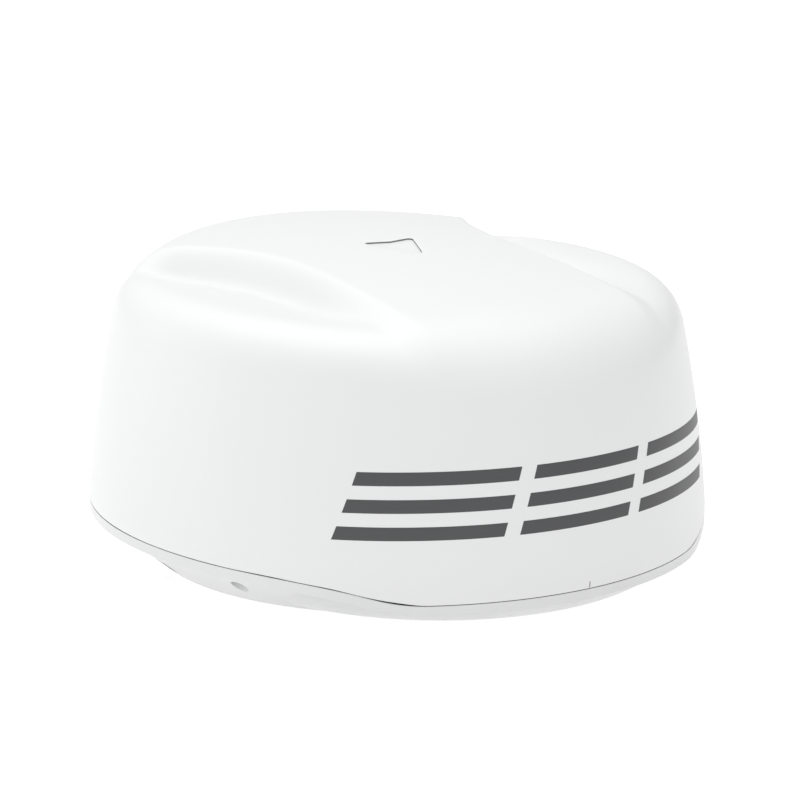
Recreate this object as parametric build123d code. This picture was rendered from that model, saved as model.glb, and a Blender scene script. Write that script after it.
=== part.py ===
from build123d import *
import os
from math import acos, atan2, cos, degrees, hypot, pi, radians, sin, tan

# A marine radar dome antenna of the 18-inch class. Millimetres.
# Frame: +Z up, the bow side is -Y, port is +X. The origin is the centre of the flat mounting face.

# ---- overall sizes -------------------------------------------------------------------------
DOME_R = 254.0            # largest radius, at the seam between the cover and the lower housing
HEIGHT = 252.0            # mounting face to the highest point of the cover
REF_Z = 42.5              # height of the seam's reference level, abeam
COVER_T = 4.0             # wall of the radome cover
HOUSING_T = 4.0           # wall of the lower housing
FLOOR_T = 5.0             # floor of the lower housing
SEAM_GAP = 0.4            # half of the gap between the two shells
BIG = 320.0               # larger than the object: used for cutting solids

# ---- roof of the cover ---------------------------------------------------------------------
SHELF_Z = REF_Z + 186.0   # height of the two side scoops
CROWN_EDGE = 42.0         # radius of the rounded edge round the raised tongue
SHELF_EDGE = 15.0         # radius of the outer edge of the scoops
CROWN_FALL = 2.55e-4      # parabolic fall of the tongue towards the bow, per mm
SHELF_FALL = 2.5e-4       # the same for the scoops
TONGUE_HALF = 115.0       # half width of the tongue
ARROW_DEPTH = 2.0

# ---- printed stripes on the bow side -------------------------------------------------------
STRIPE_Z = 72.0           # lower edge of the lowest stripe
STRIPE_H = 10.0
STRIPE_PITCH = 20.0
STRIPE_LEAN = 0.35        # sideways shift of the slanted ends per mm of height
STRIPE_SPANS = ((-171, -62), (-50, 50), (62, 171))

# ---- lower housing -------------------------------------------------------------------------
FOOT_R = 200.0            # radius of the flat bottom face
CONE_TOP_R = 247.0        # radius of the slanted side where it meets the flange
CONE_TOP_Z = 39.5
FLANGE_H = 8.0            # height of the flange band under the seam
CHIN_AHEAD = 57.7         # the rounded chin has its own axis, this far ahead of the main one
CHIN_R = 164.3            # radius of its bottom edge
CHIN_RISE = ((21.0, 8.0), (31.7, 22.5))  # further points of its convex side: outwards, upwards
RIM_IN_R = 246.0          # inside radius of the rim
PRY_ANGLE = 94.0          # the two pry slots, in degrees from the bow

# ---- mounting ------------------------------------------------------------------------------
MOUNT_X = 233.0           # bolt spacing athwartships
MOUNT_Y = 141.5           # bolt spacing fore and aft
MOUNT_HOLE_R = 3.35       # M8 thread, minor radius
INSERT_R = 6.0
INSERT_H = 22.0

# ---- connector bay on the underside, open towards the stern --------------------------------
BAY_HALF_X = 62.0
BAY_Y = 88.0              # wall that carries the connectors
BAY_TOP = 36.0
CONNECTOR_X = 28.0
CONNECTOR_Z = 20.0

# ---- cover screws --------------------------------------------------------------------------
SCREW_COUNT = 8
SCREW_R = 220.0           # pitch radius
BOW_SCREW_R = 209.0       # the two screws at the bow stand further in
POCKET_R = 6.5
SCREW_HEAD_R = 4.5
SCREW_SHANK_R = 2.1
BOSS_R = 9.0

# ---- chassis, board and pedestal -----------------------------------------------------------
PLATE_R = 165.0
PLATE_Z = 42.0
PLATE_T = 3.0
POST_R = 6.0
POST_PITCH_R = 150.0
BOARD_Z = 14.0
BOARD_T = 1.6
BOARD_X = (-100.0, 100.0)
BOARD_Y = (-110.0, 60.0)
BEARING_R = 21.0          # outside radius of the bearings
BEARING_H = 12.0
SPINDLE_R = 10.0
SPINDLE_BORE_R = 6.0
RUNNING_GAP = 0.05
TOWER_TOP = 98.0

# ---- gear drive ----------------------------------------------------------------------------
MODULE = 1.5
GEAR_TEETH = 96
PINION_TEETH = 16
GEAR_Z = 105.0
GEAR_H = 8.0
BACKLASH = 0.30
PRESSURE_ANGLE = 20.0
MOTOR_R = 24.0
MOTOR_TOP = 98.0
MOTOR_SHAFT_R = 3.0
SHAFT_DISTANCE = MODULE * (GEAR_TEETH + PINION_TEETH) / 2

# ---- antenna array -------------------------------------------------------------------------
ARRAY_HALF = 216.0        # half length of the array
ARRAY_Z = (128.0, 192.0)
HUB_R = 30.0
PLATE_TOP = PLATE_Z + PLATE_T


# ============================ small helpers =================================================
def rod(radius, z0, z1, x=0.0, y=0.0):
    """An upright cylinder from z0 to z1."""
    return Pos(x, y, (z0 + z1) / 2) * Cylinder(radius, z1 - z0)


def tube(outer, inner, z0, z1, x=0.0, y=0.0):
    """An upright ring from z0 to z1."""
    return rod(outer, z0, z1, x, y) - rod(inner, z0 - 1, z1 + 1, x, y)


def rod_y(radius, y0, y1, x, z):
    """A cylinder that lies along Y."""
    return Pos(x, (y0 + y1) / 2, z) * Rot(90, 0, 0) * Cylinder(radius, y1 - y0)


def block(x, y, z):
    """A box from three (low, high) pairs."""
    size = [high - low for low, high in (x, y, z)]
    centre = [(high + low) / 2 for low, high in (x, y, z)]
    return Pos(*centre) * Box(*size)


def around(radius, count, start=0.0):
    """Points evenly spaced on a circle."""
    angles = [radians(start + 360.0 * k / count) for k in range(count)]
    return [(radius * cos(a), radius * sin(a)) for a in angles]


def lathe(points):
    """A solid of revolution about Z from a closed outline of (radius, height) points."""
    outline = Polyline([(r, 0, z) for r, z in points], close=True)
    return revolve(make_face(outline), Axis.Z)


def lead(points, radius, bend):
    """A round lead along straight runs joined by tangent arcs."""
    path = FilletPolyline(*points, radius=bend)
    return sweep(Plane(origin=path @ 0, z_dir=path % 0) * Circle(radius), path=path)


def fuse(first, *others):
    """One solid from several that touch."""
    result = first
    for other in others:
        result = result + other
    return result


def group(solids):
    """Several separate solids under one name."""
    return Compound(children=[s.solid() for s in solids])


def full_width(side):
    """A face in the YZ plane, drawn out to both sides of the object."""
    return extrude(side, BIG, dir=(1, 0, 0)) + extrude(side, BIG, dir=(-1, 0, 0))


# ============================ the seam ======================================================
def seam_curve():
    """Side profile of the seam: low at the bow, an S-shaped step, then a slow rise to the stern."""
    bow = Line((0, -BIG, 23), (0, -222, 23))
    profile = [(-222, 23), (-192, 30.5), (-158, 38), (-110, 42.2), (-30, 45.8), (110, 48.2)]
    step = Spline(*[(0, y, z) for y, z in profile], tangents=[(0, 1, 0), (0, 1, 0.01)])
    stern = Line((0, 110, 48.2), (0, BIG, 49.8))
    return Curve() + [bow, step, stern]


def seam_side(upwards):
    """Half space over or under the seam."""
    parts = seam_curve().edges().sort_by(Axis.Y)
    limit = BIG if upwards else -BIG
    frame = Polyline((0, BIG, 49.8), (0, BIG, limit), (0, -BIG, limit), (0, -BIG, 23))
    return full_width(make_face(Curve() + [*parts, frame]))


UNDER_SEAM = seam_side(False)
OVER_SEAM = seam_side(True)


def seam_height(y):
    """Height of the seam at a fore-and-aft position, found on the curve itself."""
    for edge in seam_curve().edges():
        ends = sorted((edge @ 0, edge @ 1), key=lambda p: p.Y)
        if ends[0].Y <= y <= ends[1].Y:
            low, high = 0.0, 1.0
            rising = (edge @ 1).Y > (edge @ 0).Y
            for _ in range(30):
                middle = (low + high) / 2
                if ((edge @ middle).Y < y) == rising:
                    low = middle
                else:
                    high = middle
            return (edge @ low).Z
    return REF_Z


# ============================ radome cover ==================================================
def cover_wall(inset, top, corner):
    """The drafted wall of the cover, turned about Z, with a rounded edge at its top."""
    foot = Line((0, 0, 5), (DOME_R - inset, 0, 5))
    side = Line((DOME_R - inset, 0, 5), (DOME_R - inset, 0, REF_Z))
    profile = [(254.0, 42.5), (250.7, 77.5), (246.5, 120.5), (240.8, 162.5), (230.5, 222.0)]
    wall = Spline(*[(r - inset, 0, z) for r, z in profile], tangents=[(0, 0, 1), (-0.2, 0, 1)])
    end = wall @ 1
    rise = Line(end, (end.X - 0.2 * (top - end.Z), 0, top)) if top > end.Z else None
    roof_start = (rise @ 1) if rise else end
    roof = Line(roof_start, (0, 0, roof_start.Z))
    axis = Line((0, 0, roof_start.Z), (0, 0, 5))
    edges = [foot, side, wall] + ([rise] if rise else []) + [roof, axis]
    solid = revolve(make_face(Curve() + edges), Axis.Z)
    rim = solid.edges().filter_by(GeomType.CIRCLE).sort_by(Axis.Z)[-1]
    return fillet(rim, corner)


def crown_curve(inset):
    """Side profile of the raised tongue: level at the stern, falling towards the bow."""
    def height(y):
        forward = max(0.0, 110.0 - y)
        return HEIGHT - inset - CROWN_FALL * forward ** 2
    bow = Spline(*[(0, y, height(y)) for y in (-280, -180, -80, 20, 110)])
    return bow, Line((0, 110, HEIGHT - inset), (0, BIG, HEIGHT - inset))


def shelf_curve(inset):
    """Side profile of the scoops: level abeam, falling faster than the tongue towards the bow."""
    level = SHELF_Z - inset

    def height(y):
        forward = max(0.0, 20.0 - y)
        return level - SHELF_FALL * forward ** 2
    bow = Spline(*[(0, y, height(y)) for y in (-280, -200, -120, -50, 20)])
    return bow, Line((0, 20, level), (0, BIG, level))


def under(curves):
    """Half space below a side profile of two pieces."""
    start, end = curves[0] @ 0, curves[-1] @ 1
    frame = Polyline(end, (0, end.Y, -BIG), (0, start.Y, -BIG), start)
    return full_width(make_face(Curve() + [*curves, frame]))


def scoop_plan(grow):
    """Outline of the port scoop seen from above; grow moves it towards the tongue and the stern."""
    side = TONGUE_HALF - grow
    rear = [(side, 12 + grow), (side + 37, 62 + grow), (BIG, 118 + grow)]
    outline = make_face(Polyline((side, -BIG), *rear, (BIG, -BIG), close=True))
    turns = [v for v in outline.vertices() if 100 < v.X < 160 and v.Y > 0]
    return fillet(turns, 28 + grow)


def dome(inset):
    """The cover's outer form, or its inner form when inset by the wall."""
    high = cover_wall(inset, HEIGHT - inset, CROWN_EDGE - inset) & under(crown_curve(inset))
    low = cover_wall(inset, SHELF_Z - inset, SHELF_EDGE - inset) & under(shelf_curve(inset))
    scoop = extrude(Pos(0, 0, 100) * scoop_plan(inset), 200)
    floor = low & scoop
    return (high - scoop - mirror(scoop, Plane.YZ)) + floor + mirror(floor, Plane.YZ)


def arrow_recess():
    """A shallow arrowhead in the crown that points to the bow."""
    outline = Polyline((0, -38), (33, 27), (0, 16), (-33, 27), close=True)
    head = fillet(make_face(outline).vertices(), 3)
    prism = extrude(Pos(0, 0, HEIGHT - 30) * head, 60)
    return prism - (Pos(0, 0, -ARROW_DEPTH) * under(crown_curve(0.0)))


def cover_screw_places():
    """Each cover screw as (x, y, height of the joint between the two bosses)."""
    places = []
    for k in range(SCREW_COUNT):
        angle = 360.0 / SCREW_COUNT * (k + 0.5)
        ahead = abs(angle - 270) < 30
        radius = BOW_SCREW_R if ahead else SCREW_R
        x, y = radius * cos(radians(angle)), radius * sin(radians(angle))
        places.append((x, y, seam_height(y) - 3.0))
    return places


SCREWS = cover_screw_places()


def make_radome_cover():
    inner = dome(COVER_T)
    shell = (dome(0.0) - inner - arrow_recess()) & (Pos(0, 0, SEAM_GAP) * OVER_SEAM)
    for x, y, z in SCREWS:
        reach = hypot(x, y)
        turn = degrees(atan2(y, x))
        rib = Rot(0, 0, turn) * block((reach, DOME_R), (-2, 2), (z + 10, z + 24))
        shell = shell + (fuse(rod(8, z + 0.1, z + 24, x, y), rib) & inner)
        shell = shell - rod(4, z, z + 14, x, y)
    return shell


def make_cover_inserts():
    return group([tube(4, 2.25, z + 0.1, z + 14, x, y) for x, y, z in SCREWS])


def make_side_graphic():
    """A printed band on the bow side of the wall: three slanted stripes with slanted breaks."""
    skin = cover_wall(-0.3, HEIGHT, CROWN_EDGE) - cover_wall(0.0, HEIGHT, CROWN_EDGE)
    slope = STRIPE_LEAN * STRIPE_H
    middle = STRIPE_LEAN * (STRIPE_PITCH + STRIPE_H / 2)
    pieces = []
    for row in range(3):
        low = STRIPE_Z + row * STRIPE_PITCH
        high = low + STRIPE_H
        shift = STRIPE_LEAN * (low - STRIPE_Z) - middle
        for start, end in STRIPE_SPANS:
            left, right = start + shift, end + shift
            corners = [(left, low), (right, low), (right + slope, high), (left + slope, high)]
            outline = make_face(Polyline([(x, -BIG, z) for x, z in corners], close=True))
            pieces.append(extrude(outline, BIG, dir=(0, 1, 0)) & skin)
    return group(pieces)


# ============================ lower housing =================================================
def housing_outer():
    slanted = lathe([(0, 0), (FOOT_R, 0), (CONE_TOP_R, CONE_TOP_Z), (CONE_TOP_R, 60), (0, 60)])
    foot = (CHIN_R, 0, 0)
    swell, brow = [(CHIN_R + out, 0, up) for out, up in CHIN_RISE]
    profile = Curve() + [
        Line((0, 0, 0), foot),
        ThreePointArc(foot, swell, brow),
        Line(brow, (brow[0], 0, 60)),
        Line((brow[0], 0, 60), (0, 0, 60)),
        Line((0, 0, 60), (0, 0, 0)),
    ]
    chin = Pos(0, -CHIN_AHEAD, 0) * revolve(make_face(profile), Axis.Z)
    flange = rod(DOME_R, -10, 60) - (Pos(0, 0, -FLANGE_H) * UNDER_SEAM)
    body = fuse(slanted, chin & rod(DOME_R - 0.5, -10, 60), flange)
    return body & (Pos(0, 0, -SEAM_GAP) * UNDER_SEAM)


def housing_inner():
    """The room inside the pan: the same form held back by the wall, and open at the top."""
    side = HOUSING_T / sin(atan2(CONE_TOP_Z, CONE_TOP_R - FOOT_R))
    slope = (CONE_TOP_R - FOOT_R) / CONE_TOP_Z
    wall_z = (RIM_IN_R - FOOT_R + side) / slope
    floor_r = FOOT_R - side + slope * FLOOR_T
    pan = lathe([(0, FLOOR_T), (floor_r, FLOOR_T), (RIM_IN_R, wall_z), (RIM_IN_R, 70), (0, 70)])
    top_r = CHIN_R + CHIN_RISE[1][0] - 8
    foot_r = CHIN_R - 10
    chin = lathe([(0, FLOOR_T), (foot_r, FLOOR_T), (top_r - 11, 12.5), (top_r, 23), (top_r, 70), (0, 70)])
    return pan + ((Pos(0, -CHIN_AHEAD, 0) * chin) & rod(RIM_IN_R, 0, 70))


def bay():
    return block((-BAY_HALF_X, BAY_HALF_X), (BAY_Y, BIG), (-5, BAY_TOP))


MOUNTS = [(sx * MOUNT_X / 2, sy * MOUNT_Y / 2) for sx in (-1, 1) for sy in (-1, 1)]
POSTS = around(POST_PITCH_R, 6)
BOARD_POSTS = [(x, y) for x in (-92, 92) for y in (-102, 52)]


def make_lower_housing():
    outer = housing_outer()
    shell = outer - housing_inner()
    lip = tube(248.6, RIM_IN_R, -10, 60) & (Pos(0, 0, 5) * UNDER_SEAM) & (Pos(0, 0, -4) * OVER_SEAM)
    walls = block((-BAY_HALF_X - 4, BAY_HALF_X + 4), (BAY_Y - 4, BIG), (0, BAY_TOP + 4)) & outer
    shell = fuse(shell, lip, walls)
    for x, y in MOUNTS:
        shell = shell + rod(11, 0, INSERT_H + 4, x, y)
    for x, y in POSTS:
        shell = shell + rod(POST_R, 1, PLATE_Z, x, y)
        shell = shell - rod(SCREW_SHANK_R, PLATE_Z - 14, PLATE_Z + 1, x, y)
    for x, y in BOARD_POSTS:
        shell = shell + rod(4, 1, BOARD_Z, x, y)
        shell = shell - rod(1.5, BOARD_Z - 8, BOARD_Z + 1, x, y)
    for x, y, z in SCREWS:
        shell = shell + (rod(BOSS_R, 0, z, x, y) & outer)
    for x, y, z in SCREWS:
        shell = shell - rod(POCKET_R, -5, z - 8, x, y) - rod(SCREW_SHANK_R + 0.2, z - 9, z + 1, x, y)
    for x, y in MOUNTS:
        shell = shell - rod(INSERT_R, -1, INSERT_H, x, y)
    shell = shell - bay()
    for side in (-1, 1):
        shell = shell - rod_y(9, BAY_Y - 6, BAY_Y + 2, side * CONNECTOR_X, CONNECTOR_Z)
        shell = shell - Rot(0, 0, side * PRY_ANGLE) * pry_slot()
    return shell - rod(5, BAY_TOP - 2, BAY_TOP + 6, 0, 150)


def pry_slot():
    """A shallow slot in the slanted side where a lever lifts a stuck cover."""
    return block((-9, 9), (-FOOT_R - 22, -FOOT_R - 5), (5, 15))


def make_housing_gasket():
    ring = tube(253.2, 250.4, -10, 60)
    return (ring & (Pos(0, 0, 0.1) * UNDER_SEAM)) & (Pos(0, 0, -SEAM_GAP) * OVER_SEAM)


def make_cover_screws():
    screws = []
    for x, y, z in SCREWS:
        seat = z - 8
        head = rod(SCREW_HEAD_R, seat - 5.2, seat - 1.2, x, y)
        socket = extrude(Pos(x, y, seat - 6) * RegularPolygon(2.2, 6), 3)
        screws.append(fuse(head, rod(SCREW_SHANK_R, seat - 1.2, z + 12, x, y)) - socket)
    return group(screws)


def make_screw_seals():
    return group([tube(4.4, SCREW_SHANK_R, z - 9.2, z - 8, x, y) for x, y, z in SCREWS])


def make_mount_inserts():
    inserts = []
    for x, y in MOUNTS:
        body = tube(INSERT_R, MOUNT_HOLE_R, 0, INSERT_H, x, y)
        groove = tube(INSERT_R + 1, INSERT_R - 0.6, 9, 12, x, y)
        inserts.append(body - groove)
    return group(inserts)


# ============================ connectors ====================================================
def connector_shell(x):
    """A bulkhead socket: flange on the bay side, threaded tail through the wall, blind socket."""
    z = CONNECTOR_Z
    flange = rod_y(13, BAY_Y + 1.6, BAY_Y + 4.6, x, z)
    barrel = rod_y(10.5, BAY_Y + 4.6, BAY_Y + 22, x, z)
    tail = rod_y(9, BAY_Y - 14, BAY_Y + 1.6, x, z)
    socket = rod_y(8.5, BAY_Y + 7, BAY_Y + 23, x, z)
    return fuse(flange, barrel, tail) - socket


def contact_places(x, count, radius):
    return [(x + px, CONNECTOR_Z + pz) for px, pz in around(radius, count, 45)]


def make_connector(x, count, radius):
    shell = connector_shell(x)
    for px, pz in contact_places(x, count, radius):
        shell = shell - rod_y(0.8, BAY_Y - 10, BAY_Y + 8, px, pz)
    return shell


def make_contacts(x, count, radius):
    places = contact_places(x, count, radius)
    return group([rod_y(0.8, BAY_Y - 10, BAY_Y + 13, px, pz) for px, pz in places])


def make_connector_seals():
    rings = []
    for side in (-1, 1):
        ring = rod_y(11.6, BAY_Y, BAY_Y + 1.6, side * CONNECTOR_X, CONNECTOR_Z)
        rings.append(ring - rod_y(9, BAY_Y - 1, BAY_Y + 3, side * CONNECTOR_X, CONNECTOR_Z))
    return group(rings)


def make_connector_nuts():
    nuts = []
    for side in (-1, 1):
        x, z = side * CONNECTOR_X, CONNECTOR_Z
        hexagon = Plane((x, BAY_Y - 4, z), z_dir=(0, -1, 0)) * RegularPolygon(12.5, 6)
        nuts.append(extrude(hexagon, 6) - rod_y(9, BAY_Y - 12, BAY_Y, x, z))
    return group(nuts)


def make_breather_vent():
    cap = rod(8, BAY_TOP - 3, BAY_TOP, 0, 150)
    return fuse(cap, rod(5, BAY_TOP, BAY_TOP + 5, 0, 150)) - rod(2, BAY_TOP - 4, BAY_TOP + 2, 0, 150)


# ============================ chassis and electronics =======================================
PEDESTAL_SCREWS = around(37, 4, 45)
MOTOR_SCREWS = [(SHAFT_DISTANCE + dx, dy) for dx in (-20, 20) for dy in (-20, 20)]
PLATE_LEAD_HOLE = (SHAFT_DISTANCE, 42.0)


def make_chassis_plate():
    plate = rod(PLATE_R, PLATE_Z, PLATE_TOP)
    plate = plate - rod(15.05, PLATE_Z - 1, PLATE_TOP + 1)
    for x, y in POSTS:
        plate = plate - rod(SCREW_SHANK_R, PLATE_Z - 1, PLATE_TOP + 1, x, y)
    for x, y in PEDESTAL_SCREWS + MOTOR_SCREWS:
        plate = plate - rod(2, PLATE_Z - 1, PLATE_TOP + 1, x, y)
    for x, y in around(115, 6, 30):
        plate = plate - rod(16, PLATE_Z - 1, PLATE_TOP + 1, x, y)
    return plate - rod(5, PLATE_Z - 1, PLATE_TOP + 1, *PLATE_LEAD_HOLE)


def machine_screw(x, y, seat, length, shank, head):
    """A screw that enters downwards, with its head on the seat and a hexagon socket."""
    body = fuse(rod(head, seat, seat + 1.6 * shank, x, y), rod(shank, seat - length, seat, x, y))
    return body - extrude(Pos(x, y, seat + 0.7 * shank) * RegularPolygon(0.9 * shank, 6), 10)


def make_screws(places, seat, length, shank, head):
    return group([machine_screw(x, y, seat, length, shank, head) for x, y in places])


def make_main_board():
    board = block(BOARD_X, BOARD_Y, (BOARD_Z, BOARD_Z + BOARD_T))
    for x, y in BOARD_POSTS:
        board = board - rod(1.5, BOARD_Z - 1, BOARD_Z + BOARD_T + 1, x, y)
    return board


BOARD_TOP = BOARD_Z + BOARD_T


def make_board_chips():
    sizes = [
        (58, -60, 32, 32, 3),
        (58, -18, 14, 20, 1.6),
        (84, -60, 12, 18, 1.6),
        (58, 14, 20, 20, 2.4),
        (-60, 10, 18, 18, 5),
    ]
    chips = [Pos(x, y, BOARD_TOP + h / 2) * Box(w, d, h) for x, y, w, d, h in sizes]
    cans = [rod(5, BOARD_TOP, BOARD_TOP + 10, x, 24) for x in (-88, -30, -16)]
    return group(chips + cans)


def make_board_headers():
    blocks = [
        block((-68, -52), (40, 50), (BOARD_TOP, BOARD_TOP + 9)),
        block((44, 60), (40, 50), (BOARD_TOP, BOARD_TOP + 9)),
        block((77, 91), (36, 48), (BOARD_TOP, BOARD_TOP + 9)),
    ]
    return group(blocks)


def make_transceiver_shield():
    outer = block((-88, 24), (-98, -28), (BOARD_TOP, BOARD_TOP + 10))
    outer = fillet(outer.edges().filter_by(Axis.Z), 3)
    inner = block((-87.2, 23.2), (-97.2, -28.8), (BOARD_TOP - 1, BOARD_TOP + 9.2))
    return outer - inner


def make_power_lead():
    z = CONNECTOR_Z
    points = [(-CONNECTOR_X, BAY_Y - 14, z), (-CONNECTOR_X, 60, z), (-60, 60, z), (-60, 50, z)]
    return lead(points, 2.4, 4.5)


def make_network_lead():
    z = CONNECTOR_Z
    points = [(CONNECTOR_X, BAY_Y - 14, z), (CONNECTOR_X, 60, z), (52, 60, z), (52, 50, z)]
    return lead(points, 2.4, 4.5)


def make_rf_lead():
    return lead([(0, -14, 34), (0, -50, 34), (0, -50, BOARD_TOP + 10)], 1.5, 6)


def make_motor_lead():
    x, y = PLATE_LEAD_HOLE
    return lead([(x, MOTOR_R + 3, 54), (x, y, 54), (x, y, BOARD_TOP + 9)], 1.8, 9)


# ============================ pedestal and bearings =========================================
def make_pedestal():
    z0 = PLATE_TOP
    foot = [(16, z0), (45, z0), (45, z0 + 6), (31, z0 + 8), (27, z0 + 16)]
    tower = lathe([*foot, (27, TOWER_TOP), (16, TOWER_TOP)])
    tower = tower - rod(BEARING_R, 49, 49 + BEARING_H)
    tower = tower - rod(BEARING_R, TOWER_TOP - BEARING_H - 2, TOWER_TOP + 1) - rod(BEARING_R, 44, 50)
    for turn in (0, 90, 180, 270):
        web = block((20, 44), (-2, 2), (z0 + 4, z0 + 10)) + block((20, 33), (-2, 2), (z0 + 4, z0 + 34))
        tower = tower + (Rot(0, 0, turn) * web - rod(24, z0, TOWER_TOP))
    for x, y in PEDESTAL_SCREWS:
        tower = tower - rod(2, z0 - 1, z0 + 9, x, y) - rod(4, z0 + 5, z0 + 20, x, y)
    return tower


def make_bearing(z0):
    """A sealed ball bearing: rings with chamfered rims and recessed seals."""
    bore = SPINDLE_R + RUNNING_GAP
    ring = tube(BEARING_R, bore, z0, z0 + BEARING_H)
    seal = tube(BEARING_R - 3, bore + 2.5, z0 - 1, z0 + 0.8)
    return ring - seal - (Pos(0, 0, BEARING_H + 0.2) * seal)


def make_motor_body():
    x = SHAFT_DISTANCE
    z0 = PLATE_TOP
    flange = fillet(block((x - 26, x + 26), (-26, 26), (z0, z0 + 4)).edges().filter_by(Axis.Z), 5)
    can = chamfer(rod(MOTOR_R, z0 + 4, MOTOR_TOP - 2, x).edges().sort_by(Axis.Z)[-1], 1.5)
    body = fuse(flange, can, rod(11, MOTOR_TOP - 2, MOTOR_TOP, x), rod_y(3.5, 10, MOTOR_R + 3, x, 54))
    for sx, sy in MOTOR_SCREWS:
        body = body - rod(2, z0 - 1, z0 + 5, sx, sy) - rod(4, z0 + 3, z0 + 30, sx, sy)
    return body - rod(MOTOR_SHAFT_R + RUNNING_GAP, 60, MOTOR_TOP + 1, x)


def make_position_sensor():
    stand = block((-8, 8), (-64, -56), (PLATE_TOP, 92))
    foot = block((-14, 14), (-68, -52), (PLATE_TOP, PLATE_TOP + 3))
    head = block((-5, 5), (-63, -57), (92, 97))
    return fuse(stand, foot, head)


def make_rotary_joint_stator():
    body = fuse(rod(14, 29, 40), rod(20, 40, PLATE_Z), rod(4.5, 40, 100))
    return body - rod(2.6, 70, 101)


# ============================ turning parts =================================================
def make_spindle():
    stem = rod(SPINDLE_R, 47, GEAR_Z)
    flange = rod(24, GEAR_Z - 4, GEAR_Z)
    pilot = rod(SPINDLE_R, GEAR_Z, GEAR_Z + GEAR_H + 4)
    spindle = fuse(stem, flange, pilot) - rod(SPINDLE_BORE_R, 40, 130)
    for x, y in GEAR_SCREWS:
        spindle = spindle - rod(1.6, GEAR_Z - 5, GEAR_Z + 1, x, y)
    return spindle - tube(SPINDLE_R + 1, SPINDLE_R - 0.6, 47.6, 48.7)


def make_spindle_ring():
    """A snap ring in the groove at the foot of the spindle, under the lower bearing."""
    ring = tube(SPINDLE_R + 2.2, SPINDLE_R - 0.6, 47.6, 48.7)
    return ring - block((0, 20), (-2, 2), (46, 50))


GEAR_SCREWS = around(17, 6, 30)


def involute_flank(base_r, from_r, to_r, steps=6):
    """Points (radius, polar angle) along an involute from one radius to another."""
    points = []
    for k in range(steps):
        r = from_r + (to_r - from_r) * k / (steps - 1)
        r = max(r, base_r)
        roll = acos(base_r / r)
        points.append((r, tan(roll) - roll))
    return points


def spur_gear(teeth, backlash, z0, z1):
    """An involute spur gear whose first tooth is centred on +X."""
    pitch_r = MODULE * teeth / 2
    base_r = pitch_r * cos(radians(PRESSURE_ANGLE))
    tip_r = pitch_r + MODULE
    root_r = pitch_r - 1.25 * MODULE
    start_r = max(base_r, root_r + 0.1)
    roll = acos(base_r / pitch_r)
    half = pi / (2 * teeth) - backlash / (4 * pitch_r) + tan(roll) - roll
    flank = involute_flank(base_r, start_r, tip_r)
    body = rod(root_r, z0, z1)
    right = [(r * cos(a - half), r * sin(a - half)) for r, a in flank]
    left = [(r * cos(half - a), r * sin(half - a)) for r, a in reversed(flank)]
    inner = root_r - 0.3
    foot_x, foot_y = inner * cos(half), inner * sin(half)
    corners = [(foot_x, -foot_y), *right, *left, (foot_x, foot_y)]
    tooth = extrude(Pos(0, 0, z0) * make_face(Polyline(*corners, close=True)), z1 - z0)
    ring = [Rot(0, 0, 360.0 * k / teeth) * tooth for k in range(teeth)]
    return body.fuse(*ring)


def make_drive_gear():
    gear = spur_gear(GEAR_TEETH, BACKLASH, GEAR_Z, GEAR_Z + GEAR_H)
    gear = gear - tube(64, 30, GEAR_Z + 5, GEAR_Z + GEAR_H + 1)
    for x, y in around(47, 6, 30):
        gear = gear - rod(11, GEAR_Z - 1, GEAR_Z + GEAR_H, x, y)
    for x, y in GEAR_SCREWS:
        gear = gear - rod(1.6, GEAR_Z - 1, GEAR_Z + GEAR_H + 1, x, y)
    return gear - rod(SPINDLE_R, GEAR_Z - 1, GEAR_Z + GEAR_H + 1)


def make_index_magnet():
    return rod(3, GEAR_Z - 2.5, GEAR_Z, 0, -67)


def make_motor_pinion():
    pinion = spur_gear(PINION_TEETH, BACKLASH, GEAR_Z - 1, GEAR_Z + GEAR_H + 1)
    collar = rod(7, GEAR_Z - 4, GEAR_Z - 1)
    pinion = fuse(pinion, collar) - rod(MOTOR_SHAFT_R, GEAR_Z - 6, GEAR_Z + GEAR_H + 3)
    half_tooth = 180.0 / PINION_TEETH
    return Pos(SHAFT_DISTANCE, 0, 0) * Rot(0, 0, 180 + half_tooth) * pinion


def make_motor_shaft():
    return rod(MOTOR_SHAFT_R, 61, GEAR_Z + GEAR_H + 3, SHAFT_DISTANCE)


HUB_TOP = GEAR_Z + GEAR_H + 6
BACK_Y = (5.6, 8.6)
WEB_Y = (8.6, 12.6)
HUB_SCREWS = [(x, z) for x in (-32, 32) for z in (140, 165)]
RIVETS = [x for x in (-200, -130, -65, 65, 130, 200)]


def make_antenna_hub():
    disc = rod(HUB_R, GEAR_Z + GEAR_H, HUB_TOP)
    web = fillet(block((-42, 42), WEB_Y, (HUB_TOP - 6, 178)).edges().filter_by(Axis.Y), 4)
    gussets = [block((x - 2, x + 2), (WEB_Y[1], 26), (HUB_TOP - 4, HUB_TOP + 12)) for x in (-18, 18)]
    disc = disc + block((-42, 42), (4, 22), (GEAR_Z + GEAR_H + 1, HUB_TOP))
    hub = fuse(disc, web, *gussets)
    hub = hub - rod(SPINDLE_R, GEAR_Z, GEAR_Z + GEAR_H + 4) - rod(7.5, GEAR_Z, HUB_TOP + 10)
    hub = hub - block((-7.5, 7.5), (0, 30), (HUB_TOP, HUB_TOP + 8))
    for x, y in GEAR_SCREWS:
        hub = hub - rod(1.6, GEAR_Z, HUB_TOP + 1, x, y) - rod(3.2, HUB_TOP - 2.5, HUB_TOP + 20, x, y)
    for x, z in HUB_SCREWS:
        hub = hub - rod_y(2, 0, 20, x, z)
    return hub


def make_gear_screws():
    return make_screws(GEAR_SCREWS, HUB_TOP - 2.5, 17, 1.6, 3)


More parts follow.
